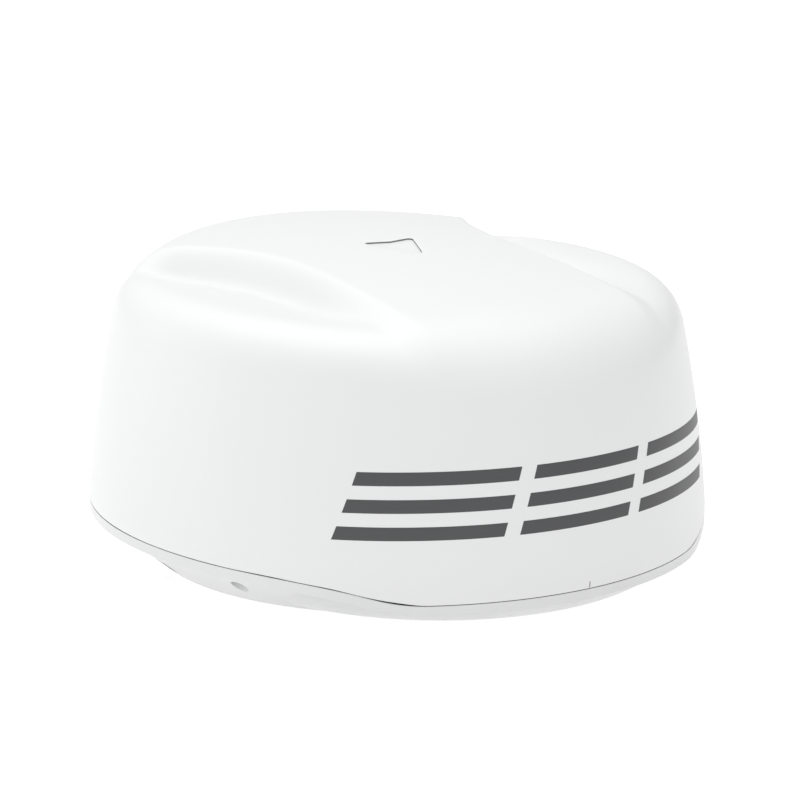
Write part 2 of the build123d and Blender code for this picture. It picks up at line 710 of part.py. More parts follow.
def make_hub_screws():
    screws = []
    for x, z in HUB_SCREWS:
        body = rod_y(3.6, WEB_Y[1], WEB_Y[1] + 3, x, z) + rod_y(2, BACK_Y[0], WEB_Y[1], x, z)
        socket = extrude(Plane((x, WEB_Y[1] + 1.4, z), z_dir=(0, 1, 0)) * RegularPolygon(1.8, 6), 5)
        screws.append(body - socket)
    return group(screws)


def make_antenna_backplate():
    z0, z1 = ARRAY_Z
    back = block((-ARRAY_HALF, ARRAY_HALF), BACK_Y, ARRAY_Z)
    top = block((-ARRAY_HALF, ARRAY_HALF), (BACK_Y[1], 20), (z1 - 2.5, z1))
    bottom = block((-ARRAY_HALF, ARRAY_HALF), (BACK_Y[1], 20), (z0, z0 + 2.5))
    channel = fuse(back, top, bottom) - block((-44, 44), (BACK_Y[1], 30), (z0 - 1, z0 + 4))
    for x, z in HUB_SCREWS:
        channel = channel - rod_y(2, 0, 20, x, z)
    for x in RIVETS:
        for z in (z0 + 7, z1 - 7):
            channel = channel - rod_y(1.5, 0, 20, x, z)
    return channel - rod_y(3, 0, 20, 100, 160)


def make_antenna_core():
    core = block((-ARRAY_HALF, ARRAY_HALF), (-4.4, BACK_Y[0]), ARRAY_Z)
    for x in RIVETS:
        for z in (ARRAY_Z[0] + 7, ARRAY_Z[1] - 7):
            core = core - rod_y(1.5, -10, 20, x, z)
    return core


def make_antenna_panel():
    panel = block((-ARRAY_HALF, ARRAY_HALF), (-6.0, -4.4), ARRAY_Z)
    for x in RIVETS:
        for z in (ARRAY_Z[0] + 7, ARRAY_Z[1] - 7):
            panel = panel - rod_y(1.5, -10, 20, x, z)
    return panel


def make_antenna_patches():
    """Copper radiating patches in two rows on the front of the panel."""
    pitch, size = 16.5, 9.5
    patches = []
    for column in range(24):
        x = (column - 11.5) * pitch
        for z in (147, 173):
            patches.append(block((x - size / 2, x + size / 2), (-6.2, -6.0), (z - size / 2, z + size / 2)))
    return group(patches)


def make_panel_rivets():
    rivets = []
    for x in RIVETS:
        for z in (ARRAY_Z[0] + 7, ARRAY_Z[1] - 7):
            shank = rod_y(1.5, -6.0, BACK_Y[1], x, z)
            head = rod_y(2.8, -7.2, -6.0, x, z)
            tail = rod_y(2.4, BACK_Y[1], BACK_Y[1] + 1, x, z)
            rivets.append(fuse(shank, head, tail))
    return group(rivets)


def make_antenna_end_caps():
    caps = []
    for side in (-1, 1):
        low, high = sorted((side * ARRAY_HALF, side * (ARRAY_HALF + 3)))
        cap = block((low, high), (-7.5, 21), (ARRAY_Z[0] - 1, ARRAY_Z[1] + 1))
        caps.append(fillet(cap.edges().filter_by(Axis.X), 3))
    return group(caps)


def make_rotary_joint_rotor():
    plug = rod(SPINDLE_BORE_R, 101, GEAR_Z + GEAR_H + 4)
    head = rod(5.5, GEAR_Z + GEAR_H + 4, 125)
    return fuse(plug, head, rod(2.2, 74, 101))


def make_antenna_feed():
    points = [(0, 5.5, 122.5), (0, 32, 122.5), (100, 32, 160), (100, BACK_Y[1], 160)]
    return lead(points, 1.5, 11)


PARTS = {
    "radome_cover": make_radome_cover,
    "cover_inserts": make_cover_inserts,
    "side_graphic": make_side_graphic,
    "lower_housing": make_lower_housing,
    "housing_gasket": make_housing_gasket,
    "cover_screws": make_cover_screws,
    "screw_seals": make_screw_seals,
    "mount_inserts": make_mount_inserts,
    "power_connector": lambda: make_connector(-CONNECTOR_X, 4, 4.0),
    "power_contacts": lambda: make_contacts(-CONNECTOR_X, 4, 4.0),
    "network_connector": lambda: make_connector(CONNECTOR_X, 8, 5.4),
    "network_contacts": lambda: make_contacts(CONNECTOR_X, 8, 5.4),
    "connector_seals": make_connector_seals,
    "connector_nuts": make_connector_nuts,
    "breather_vent": make_breather_vent,
    "chassis_plate": make_chassis_plate,
    "chassis_screws": lambda: make_screws(POSTS, PLATE_TOP, 14, 2.1, 4),
    "main_board": make_main_board,
    "board_screws": lambda: make_screws(BOARD_POSTS, BOARD_TOP, 8, 1.5, 2.8),
    "board_chips": make_board_chips,
    "board_headers": make_board_headers,
    "transceiver_shield": make_transceiver_shield,
    "power_lead": make_power_lead,
    "network_lead": make_network_lead,
    "rf_lead": make_rf_lead,
    "motor_lead": make_motor_lead,
    "pedestal": make_pedestal,
    "pedestal_screws": lambda: make_screws(PEDESTAL_SCREWS, PLATE_TOP + 5, 8, 2, 3.8),
    "lower_bearing": lambda: make_bearing(49.0),
    "upper_bearing": lambda: make_bearing(TOWER_TOP - BEARING_H - 2),
    "motor_body": make_motor_body,
    "motor_screws": lambda: make_screws(MOTOR_SCREWS, PLATE_TOP + 3, 6, 2, 3.8),
    "position_sensor": make_position_sensor,
    "rotary_joint_stator": make_rotary_joint_stator,
    "spindle": make_spindle,
    "spindle_ring": make_spindle_ring,
    "drive_gear": make_drive_gear,
    "gear_screws": make_gear_screws,
    "index_magnet": make_index_magnet,
    "antenna_hub": make_antenna_hub,
    "hub_screws": make_hub_screws,
    "antenna_backplate": make_antenna_backplate,
    "antenna_core": make_antenna_core,
    "antenna_panel": make_antenna_panel,
    "antenna_patches": make_antenna_patches,
    "panel_rivets": make_panel_rivets,
    "antenna_end_caps": make_antenna_end_caps,
    "rotary_joint_rotor": make_rotary_joint_rotor,
    "antenna_feed": make_antenna_feed,
    "motor_shaft": make_motor_shaft,
    "motor_pinion": make_motor_pinion,
}

os.makedirs("parts", exist_ok=True)
for name, maker in PARTS.items():
    export_step(maker(), f"parts/{name}.step")
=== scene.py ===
from math import atan2, cos, degrees, hypot, pi, radians, sin

import bmesh
import bpy
import numpy as np
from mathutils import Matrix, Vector, geometry


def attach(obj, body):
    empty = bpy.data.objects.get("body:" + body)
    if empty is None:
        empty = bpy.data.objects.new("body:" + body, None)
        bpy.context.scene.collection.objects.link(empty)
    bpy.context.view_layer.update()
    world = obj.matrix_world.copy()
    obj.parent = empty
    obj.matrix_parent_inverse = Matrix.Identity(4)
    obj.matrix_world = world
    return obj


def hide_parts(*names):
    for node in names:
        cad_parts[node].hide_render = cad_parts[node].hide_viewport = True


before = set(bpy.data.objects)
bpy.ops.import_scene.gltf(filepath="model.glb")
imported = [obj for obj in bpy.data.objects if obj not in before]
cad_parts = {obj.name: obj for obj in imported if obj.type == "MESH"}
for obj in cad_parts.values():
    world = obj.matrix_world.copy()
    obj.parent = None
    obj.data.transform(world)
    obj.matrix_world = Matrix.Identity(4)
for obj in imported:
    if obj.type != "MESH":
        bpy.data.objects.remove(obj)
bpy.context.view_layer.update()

# The forms are worked out in millimetres in the row frame (bow -Y, port +X) and scaled to metres by MM.
# f is a distance towards the bow, p one towards port.
MM = 0.001
REF_Z = 42.5            # height of the seam's reference level above the mounting face
RADIUS = 254.0
SKIN = 4.0              # wall thickness of the cover
RIM_GAP = 0.15          # between the cover's rim and the seam
CORE_R = 62.0           # circle round the arrowhead, inside which the crown is meshed on its own
COLUMNS = 512
ROWS = 176
DISC_RINGS = 10

# ============================ form of the cover =============================================
# Heights above the reference level. The tongue's crown and the scoops' shelf both fall away as squares.
TOP = dict(crown=212.0, crown_fall=3.38e-4, crown_from=-110.0, crown_side=3.5e-4,
           shelf=190.0, shelf_fall=1.8e-4, shelf_from=-120.0, shelf_side=0.02, shelf_side_from=120.0,
           edge=112.0, ramp=24.0, rear_f=-101.0, rear_p=150.0, rear_tilt=1.35, corner=50.0,
           dish=9.0, dish_width=25.0, dish_rim=222.0, dish_rim_fade=45.0, dish_bow=150.0,
           dish_bow_fade=110.0)

# Sizes of the blend between roof and wall, and the azimuths off the bow, in degrees, where they change.
ROUND = dict(rear=48.5, side=30.0, bow=50.0, bow_to=45.0, bow_fade=35.0, rear_from=42.0, rear_fade=30.0)


def smooth_max(a, b, k):
    """The greater of two values, with the corner between them blended over k."""
    h = np.maximum(k - np.abs(a - b), 0.0) / k
    return np.maximum(a, b) + h * h * k * 0.25


def smooth_step(x):
    x = np.clip(x, 0.0, 1.0)
    return x * x * (3 - 2 * x)


def wall_radius(z):
    """Radius of the drafted wall at a height above the seam's reference level."""
    z = np.maximum(z, 0.0)
    return RADIUS - 0.072 * z - 5.3e-4 * z ** 2 + 3.6e-7 * z ** 3


def crown_height(f, p):
    ahead = np.maximum(0, f - TOP["crown_from"])
    return TOP["crown"] - TOP["crown_fall"] * ahead ** 2 - TOP["crown_side"] * p * p


def shelf_height(f, p):
    ahead = np.maximum(0, f - TOP["shelf_from"])
    beside = np.maximum(0, np.abs(p) - TOP["shelf_side_from"])
    return TOP["shelf"] - TOP["shelf_fall"] * ahead ** 2 - TOP["shelf_side"] * beside


def tongue_distance(f, p):
    """How far inside the outline of the raised tongue a place is; below 0 in the scoops beside it."""
    a = np.abs(p)
    side = TOP["edge"] - a
    tilt = TOP["rear_tilt"]
    length = hypot(1.0, tilt)
    rear = -(f - TOP["rear_f"]) / length - (a - TOP["rear_p"]) * tilt / length
    return smooth_max(side, rear, TOP["corner"])


def tongue_share(f, p):
    """1 on the tongue, 0 in the scoops, with a soft ramp between."""
    share = (tongue_distance(f, p) + TOP["ramp"] / 2) / TOP["ramp"]
    return 0.8 * smooth_step(share) + 0.2 * np.clip(share, 0, 1)


def roof_height(f, p):
    """The tongue above, the scoops below, each dished along the foot of the ramp but not at its rim."""
    foot = (tongue_distance(f, p) + TOP["ramp"] / 2) / TOP["dish_width"]
    within = smooth_step((TOP["dish_rim"] - np.hypot(f, p)) / TOP["dish_rim_fade"])
    behind_bow = smooth_step((TOP["dish_bow"] - f) / TOP["dish_bow_fade"])
    dish = TOP["dish"] * np.exp(-foot * foot) * within * behind_bow
    shelf = shelf_height(f, p) - dish
    return shelf + (crown_height(f, p) - shelf) * tongue_share(f, p)


def rounding(f, p):
    """Size of the blend between roof and wall: wide at the bow and stern, tight along the scoops."""
    away = np.degrees(np.abs(np.arctan2(p, f)))
    front = smooth_step((ROUND["bow_to"] - away) / ROUND["bow_fade"])
    behind = tongue_share(f, p) * smooth_step((away - ROUND["rear_from"]) / ROUND["rear_fade"])
    side = ROUND["side"] + (ROUND["bow"] - ROUND["side"]) * front
    return side + (ROUND["rear"] - side) * behind


def outside(x, y, z):
    """Above 0 outside the cover, below 0 inside it."""
    f, p, h = -y, x, z - REF_Z
    return smooth_max(np.hypot(f, p) - wall_radius(h), h - roof_height(f, p), rounding(f, p))


# The seam's side profile: place fore and aft (bow at -Y) and height, dropping over the chin at the bow.
SEAM = np.array([(-400, 23), (-222, 23), (-209, 25.6), (-192, 30.5), (-181, 34), (-158, 38), (-147, 39.6),
                 (-110, 42.2), (-72, 44.2), (-30, 45.8), (7, 47), (68, 48), (110, 48.3), (254, 49.8),
                 (400, 50)], dtype=float)


def seam_height(y):
    """Height of the seam at a fore-and-aft place: a smooth curve through its side profile."""
    ys, zs = SEAM[:, 0], SEAM[:, 1]
    slopes = np.gradient(zs, ys)
    slopes[0] = slopes[1] = 0.0
    k = np.clip(np.searchsorted(ys, y) - 1, 0, len(ys) - 2)
    span = ys[k + 1] - ys[k]
    t = (np.asarray(y) - ys[k]) / span
    a = (1 + 2 * t) * (1 - t) ** 2 * zs[k] + t * (1 - t) ** 2 * span * slopes[k]
    return a + t * t * (3 - 2 * t) * zs[k + 1] + t * t * (t - 1) * span * slopes[k + 1]


# ============================ mesh helpers ==================================================
def make_object(name, points, faces, crease):
    """One smooth-shaded mesh in metres, with edges sharper than crease degrees kept sharp."""
    mesh = bpy.data.meshes.new(name)
    mesh.from_pydata([tuple(p * MM for p in v) for v in points], [], faces)
    mesh.validate()
    mesh.update()
    obj = bpy.data.objects.new(name, mesh)
    bpy.context.scene.collection.objects.link(obj)
    work = bmesh.new()
    work.from_mesh(mesh)
    bmesh.ops.recalc_face_normals(work, faces=work.faces)
    work.to_mesh(mesh)
    work.free()
    mesh.shade_smooth()
    mesh.set_sharp_from_angle(angle=radians(crease))
    return obj


def bridge(a, b, closed=True):
    """Quads between two rings of vertex numbers."""
    n = len(a)
    last = n if closed else n - 1
    return [(a[i], a[(i + 1) % n], b[(i + 1) % n], b[i]) for i in range(last)]


# The notched arrowhead's corners, with its point at the bow.
ARROW = [(0.0, -37.0), (25.5, 16.0), (0.0, 10.0), (-25.5, 16.0)]
ARROW_ROUND = 3.0
ARROW_STEPS = 16


def arrow_ring(offset, per_corner=7):
    """Outline of the navigation arrowhead, moved outwards by offset, with rounded corners."""
    n = len(ARROW)
    lines = []
    for i in range(n):
        (x0, y0), (x1, y1) = ARROW[i], ARROW[(i + 1) % n]
        dx, dy = x1 - x0, y1 - y0
        length = hypot(dx, dy)
        nx, ny = dy / length, -dx / length
        lines.append((nx, ny, nx * x0 + ny * y0 + offset))
    ring = []
    for i in range(n):
        before, after = lines[i - 1], lines[i]
        det = before[0] * after[1] - before[1] * after[0]
        cx = (before[2] * after[1] - before[1] * after[2]) / det
        cy = (before[0] * after[2] - before[2] * after[0]) / det
        convex = det > 0
        r = max(0.4, ARROW_ROUND + offset) if convex else max(0.4, ARROW_ROUND - offset)
        sign = -1.0 if convex else 1.0
        shift = sign * r
        px = ((before[2] + shift) * after[1] - before[1] * (after[2] + shift)) / det
        py = (before[0] * (after[2] + shift) - (before[2] + shift) * after[0]) / det
        a0 = atan2(-sign * before[1], -sign * before[0])
        a1 = atan2(-sign * after[1], -sign * after[0])
        turn = (a1 - a0 + pi) % (2 * pi) - pi
        for k in range(per_corner):
            a = a0 + turn * k / (per_corner - 1)
            ring.append((px + r * cos(a), py + r * sin(a)))
    dense = []
    for i, (x0, y0) in enumerate(ring):
        x1, y1 = ring[(i + 1) % len(ring)]
        straight = i % per_corner == per_corner - 1
        steps = ARROW_STEPS if straight else 1
        for k in range(steps):
            dense.append((x0 + (x1 - x0) * k / steps, y0 + (y1 - y0) * k / steps))
    return dense


def inside_ring(x, y, ring):
    """Whether a place is inside a closed outline, by counting the edges it crosses."""
    hit = False
    for i in range(len(ring)):
        (x0, y0), (x1, y1) = ring[i], ring[i - 1]
        if (y0 > y) != (y1 > y) and x < (x1 - x0) * (y - y0) / (y1 - y0) + x0:
            hit = not hit
    return hit


# ============================ radome cover ==================================================
def cover_columns():
    """Points of the outer skin: one column per azimuth, from the rim to the circle round the crown."""
    theta = np.linspace(0, 2 * pi, COLUMNS, endpoint=False)
    centre = 90.0
    steep = np.linspace(radians(-30), radians(88), 520)
    across, rise = np.meshgrid(theta, steep, indexing="ij")
    dx, dy, dz = np.cos(across) * np.cos(rise), np.sin(across) * np.cos(rise), np.sin(rise)
    near, far = np.full(dx.shape, 40.0), np.full(dx.shape, 360.0)
    for _ in range(26):
        middle = (near + far) / 2
        inside = outside(middle * dx, middle * dy, centre + middle * dz) < 0
        near = np.where(inside, middle, near)
        far = np.where(inside, far, middle)
    reach = (near + far) / 2
    x, y, z = reach * dx, reach * dy, centre + reach * dz
    columns = np.zeros((COLUMNS, ROWS, 3))
    for i in range(COLUMNS):
        foot = seam_height(RADIUS * sin(theta[i])) + RIM_GAP
        keep = (z[i] > foot + 0.8) & (np.hypot(x[i], y[i]) > CORE_R)
        r = np.concatenate([[RADIUS - 0.3, RADIUS], np.hypot(x[i], y[i])[keep], [CORE_R]])
        roof = roof_height(-CORE_R * sin(theta[i]), CORE_R * cos(theta[i])) + REF_Z
        h = np.concatenate([[foot, foot + 0.35], z[i][keep], [roof]])
        run = np.concatenate([[0], np.cumsum(np.hypot(np.diff(r), np.diff(h)))])
        wanted = np.concatenate([[run[0], run[1]], np.linspace(run[1], run[-1], ROWS - 1)[1:]])
        r, h = np.interp(wanted, run, r), np.interp(wanted, run, h)
        columns[i] = np.stack([r * cos(theta[i]), r * sin(theta[i]), h], -1)
    return columns


def triangulate(loops, inner, drop, points, faces, keep):
    """Fills between closed loops of vertex numbers, with inner points at the roof's height less drop."""
    index = [number for loop in loops for number in loop]
    flat = [(points[number][0], points[number][1]) for number in index]
    edges = []
    start = 0
    for loop in loops:
        edges += [(start + i, start + (i + 1) % len(loop)) for i in range(len(loop))]
        start += len(loop)
    for x, y in inner:
        index.append(len(points))
        flat.append((x, y))
        points.append((x, y, REF_Z + roof_height(-y, x) - drop))
    verts, _, tris, source, _, _ = geometry.delaunay_2d_cdt([Vector(v) for v in flat], edges, [], 0, 1e-4)
    for tri in tris:
        x = sum(verts[i][0] for i in tri) / 3
        y = sum(verts[i][1] for i in tri) / 3
        if keep(x, y):
            faces.append(tuple(index[source[i][0]] for i in tri))


def crown_disc(start_ring, points, faces):
    """The middle of the crown, with the arrowhead sunk into it. Gives the faces of the arrowhead's edge wall,
    which carry a painted shadow line.
    """
    rings = [arrow_ring(0.25), arrow_ring(0.0), arrow_ring(-0.05), arrow_ring(-0.4)]
    drops = [0.0, 0.1, 1.3, 1.35]
    numbers = []
    for ring, drop in zip(rings, drops):
        numbers.append([])
        for x, y in ring:
            numbers[-1].append(len(points))
            points.append((x, y, REF_Z + roof_height(-y, x) - drop))
    faces.extend(bridge(numbers[0], numbers[1]))
    edge = range(len(faces), len(faces) + len(numbers[1]))
    faces.extend(bridge(numbers[1], numbers[2]))
    faces.extend(bridge(numbers[2], numbers[3]))
    step = 4.0
    along = np.arange(-CORE_R, CORE_R, step) + step / 2
    grid = [(float(x), float(y)) for x in along for y in along]
    clear_of, within = arrow_ring(3.0), arrow_ring(-3.0)
    around = [g for g in grid if hypot(*g) < CORE_R - 2.5 and not inside_ring(*g, clear_of)]
    sunk = [g for g in grid if inside_ring(*g, within)]

    def on_crown(x, y):
        return hypot(x, y) <= CORE_R and not inside_ring(x, y, rings[0])

    def on_floor(x, y):
        return inside_ring(x, y, rings[-1])

    triangulate([start_ring, numbers[0]], around, 0.0, points, faces, on_crown)
    triangulate([numbers[-1]], sunk, drops[-1], points, faces, on_floor)
    return edge


def bosses(screws, points, faces):
    """Screw bosses on the inside of the wall, each tied to it by a rib."""
    for x, y, z in screws:
        rings = []
        for radius, height in ((4.0, z + 14), (4.0, z + 0.4), (7.6, z + 0.1), (8.0, z + 0.5), (8.0, z + 24)):
            ring = []
            for k in range(28):
                a = 2 * pi * k / 28
                ring.append(len(points))
                points.append((x + radius * cos(a), y + radius * sin(a), height))
            rings.append(ring)
        for a, b in zip(rings, rings[1:]):
            faces.extend(bridge(a, b))
        faces.append(tuple(rings[0]))
        faces.append(tuple(rings[-1]))
        turn = atan2(y, x)
        ux, uy = cos(turn), sin(turn)
        reach = hypot(x, y)
        corner = []
        for along in (reach + 6, 250.5):
            for side in (-1.8, 1.8):
                for height in (z + 10, z + 24):
                    corner.append(len(points))
                    points.append((along * ux - side * uy, along * uy + side * ux, height))
        a, b, c, d, e, f, g, h = corner
        faces.extend([(a, b, d, c), (e, g, h, f), (a, c, g, e), (b, f, h, d), (a, e, f, b), (c, d, h, g)])


def screw_places():
    """Centres of the eight cover screws. The two at the bow stand further in."""
    places = []
    for k in range(8):
        angle = radians(45.0 * (k + 0.5))
        radius = 209.0 if abs(degrees(angle) - 270) < 30 else 220.0
        x, y = radius * cos(angle), radius * sin(angle)
        places.append((x, y, float(seam_height(y)) - 3.0))
    return places


def inner_skin(columns):
    """Every second column and third row of the outer skin, moved in by the wall thickness."""
    thin = columns[::2, 1::3]
    along = np.roll(thin, -1, 0) - np.roll(thin, 1, 0)
    up = np.gradient(thin, axis=1)
    normal = np.cross(along, up)
    normal /= np.linalg.norm(normal, axis=2, keepdims=True)
    inner = thin - SKIN * normal
    inward = (RADIUS - SKIN) / RADIUS
    inner[:, 0, :] = columns[::2, 1] * np.array([inward, inward, 1.0])
    inner[:, 0, 2] -= 0.6
    return inner


def ring_numbers(base, count, rows, row):
    """Vertex numbers of one row round a set of columns that begins at base."""
    return [base + i * rows + row for i in range(count)]


def close_ceiling(ring, points, faces):
    """Closes the inner skin under the crown with ever smaller rings and a last flat face."""
    for share in np.linspace(1, 0, DISC_RINGS)[1:-1]:
        new = []
        for i in range(len(ring)):
            r = CORE_R * share
            a = 2 * pi * i / len(ring)
            new.append(len(points))
            height = REF_Z + float(roof_height(-r * sin(a), r * cos(a))) - SKIN
            points.append((r * cos(a), r * sin(a), height))
        faces.extend(bridge(ring, new))
        ring = new
    faces.append(tuple(ring))


def close_rim(foot, rim, faces):
    """Joins the outer rim to the inner one, which has half as many points."""
    n = len(rim)
    for i in range(n):
        a, b, c = foot[2 * i], foot[2 * i + 1], foot[(2 * i + 2) % COLUMNS]
        faces.append((a, rim[i], b))
        faces.append((b, rim[i], rim[(i + 1) % n]))
        faces.append((b, rim[(i + 1) % n], c))


def build_cover():
    """The whole cover as one closed shell with its bosses. Gives the object and the faces of the arrowhead's
    edge wall, which carry a painted shadow line.
    """
    columns = cover_columns()
    points = [tuple(v) for v in columns.reshape(-1, 3)]
    faces = []
    outer = [ring_numbers(0, COLUMNS, ROWS, row) for row in range(ROWS)]
    for a, b in zip(outer, outer[1:]):
        faces.extend(bridge(a, b))
    edge = crown_disc(outer[-1], points, faces)
    inner = inner_skin(columns)
    count, rows = inner.shape[:2]
    lining = [ring_numbers(len(points), count, rows, row) for row in range(rows)]
    points.extend(tuple(v) for v in inner.reshape(-1, 3))
    for a, b in zip(lining, lining[1:]):
        faces.extend(bridge(a, b))
    close_ceiling(lining[-1], points, faces)
    close_rim(outer[0], lining[0], faces)
    bosses(screw_places(), points, faces)
    return make_object("radome_shell", points, faces, 40.0), edge


def border(grid):
    """The vertex numbers round the edge of a grid, in order."""
    up = [row[-1] for row in grid[1:]]
    down = [row[0] for row in grid[-2:0:-1]]
    return grid[0] + up + grid[-1][-2::-1] + down


def wall_patch(x0, x1, z0, z1, lean, lift, points, faces, base_z):
    """A thin printed patch that follows the bow side of the wall."""
    nx, nz = max(2, int(abs(x1 - x0) / 2.5)), 8
    grid = []
    for j in range(nz + 1):
        z = z0 + (z1 - z0) * j / nz
        row = []
        for i in range(nx + 1):
            x = x0 + (x1 - x0) * i / nx + lean * (z - base_z)
            edge = i in (0, nx) or j in (0, nz)
            radius = float(wall_radius(z - REF_Z)) + (0.02 if edge else lift)
            row.append(len(points))
            points.append((x, -(radius ** 2 - x * x) ** 0.5, z))
        grid.append(row)
    for a, b in zip(grid, grid[1:]):
        faces.extend(bridge(a, b, closed=False))
    back = []
    for row in grid:
        back.append([])
        for v in row:
            x, y, z = points[v]
            back[-1].append(len(points))
            points.append((x * 0.9985, y * 0.9985, z))
    for a, b in zip(back, back[1:]):
        faces.extend(bridge(b, a, closed=False))
    faces.extend(bridge(border(grid), border(back)))


STRIPES = dict(low=72.0, rise=20.0, height=10.0, rows=3, lean=0.35, shift=-8.75,
               spans=((-171, -62), (-50, 50), (62, 171)))


def build_stripes():
    """Generic slanted stripes on the bow side of the wall, and the thin tick above the seam."""
    points, faces = [], []
    base, shift = STRIPES["low"], STRIPES["shift"]
    for row in range(STRIPES["rows"]):
        z0 = base + STRIPES["rise"] * row
        z1 = z0 + STRIPES["height"]
        for start, end in STRIPES["spans"]:
            wall_patch(start + shift, end + shift, z0, z1, STRIPES["lean"], 0.12, points, faces, base)
    tick = float(seam_height(-RADIUS))
    wall_patch(-0.35, 0.35, tick + 0.8, tick + 5.5, 0.1, 0.1, points, faces, tick)
    return make_object("bow_stripes", points, faces, 60.0)


# ============================ materials =====================================================
def shader(name, colour, rough, metal=0.0, grain=900.0, bump=0.02, mottle=0.03, coat=0.0, streak=0.0,
           low_darkening=0.0, uneven=0.07):
    """A procedural finish: mottled colour, broken-up roughness, fine bump, and a patchy darker, browner
    colour towards the bottom.
    """
    mat = bpy.data.materials.new(name)
    mat.use_nodes = True
    tree = mat.node_tree
    tree.nodes.clear()
    add, link = tree.nodes.new, tree.links.new
    out, body = add("ShaderNodeOutputMaterial"), add("ShaderNodeBsdfPrincipled")
    place, broad, fine = add("ShaderNodeTexCoord"), add("ShaderNodeTexNoise"), add("ShaderNodeTexNoise")
    stretch = add("ShaderNodeMapping")
    stretch.inputs["Scale"].default_value = (1.0, 1.0 + streak * 30.0, 1.0 + streak * 30.0)
    link(place.outputs["Object"], stretch.inputs["Vector"])
    broad.inputs["Scale"].default_value = 14.0
    broad.inputs["Detail"].default_value = 5.0
    fine.inputs["Scale"].default_value = grain
    fine.inputs["Detail"].default_value = 3.0
    link(place.outputs["Object"], broad.inputs["Vector"])
    link(stretch.outputs["Vector"], fine.inputs["Vector"])
    tint = add("ShaderNodeMix")
    tint.data_type = "RGBA"
    tint.inputs["A"].default_value = (*colour, 1.0)
    tint.inputs["B"].default_value = (*[c * (1.0 - mottle) for c in colour], 1.0)
    link(broad.outputs["Fac"], tint.inputs["Factor"])
    gloss = add("ShaderNodeMapRange")
    gloss.inputs["To Min"].default_value = max(0.02, rough - uneven)
    gloss.inputs["To Max"].default_value = min(1.0, rough + uneven)
    link(broad.outputs["Fac"], gloss.inputs["Value"])
    link(gloss.outputs["Result"], body.inputs["Roughness"])
    relief = add("ShaderNodeBump")
    relief.inputs["Strength"].default_value = bump
    relief.inputs["Distance"].default_value = 0.0004
    link(fine.outputs["Fac"], relief.inputs["Height"])
    link(relief.outputs["Normal"], body.inputs["Normal"])
    colour_out = tint.outputs["Result"]
    # Patchy darker, browner colour over the lowest 0.05 m of object height, strongest at the bottom.
    if low_darkening > 0:
        split = add("ShaderNodeSeparateXYZ")
        link(place.outputs["Object"], split.inputs["Vector"])
        low_down = add("ShaderNodeMapRange")
        low_down.inputs["From Min"].default_value = 0.05
        low_down.inputs["From Max"].default_value = 0.0
        link(split.outputs["Z"], low_down.inputs["Value"])
        patchy = add("ShaderNodeMath")
        patchy.operation = "MULTIPLY"
        link(low_down.outputs["Result"], patchy.inputs[0])
        link(broad.outputs["Fac"], patchy.inputs[1])
        amount = add("ShaderNodeMath")
        amount.operation = "MULTIPLY"
        amount.inputs[1].default_value = low_darkening
        link(patchy.outputs["Value"], amount.inputs[0])
        darkened_low = add("ShaderNodeMix")
        darkened_low.data_type = "RGBA"
        darkened_low.inputs["B"].default_value = (0.42, 0.40, 0.36, 1.0)
        link(colour_out, darkened_low.inputs["A"])
        link(amount.outputs["Value"], darkened_low.inputs["Factor"])
        colour_out = darkened_low.outputs["Result"]
    link(colour_out, body.inputs["Base Color"])
    body.inputs["Metallic"].default_value = metal
    body.inputs["Coat Weight"].default_value = coat
    body.inputs["Coat Roughness"].default_value = 0.08
    link(body.outputs["BSDF"], out.inputs["Surface"])
    return mat


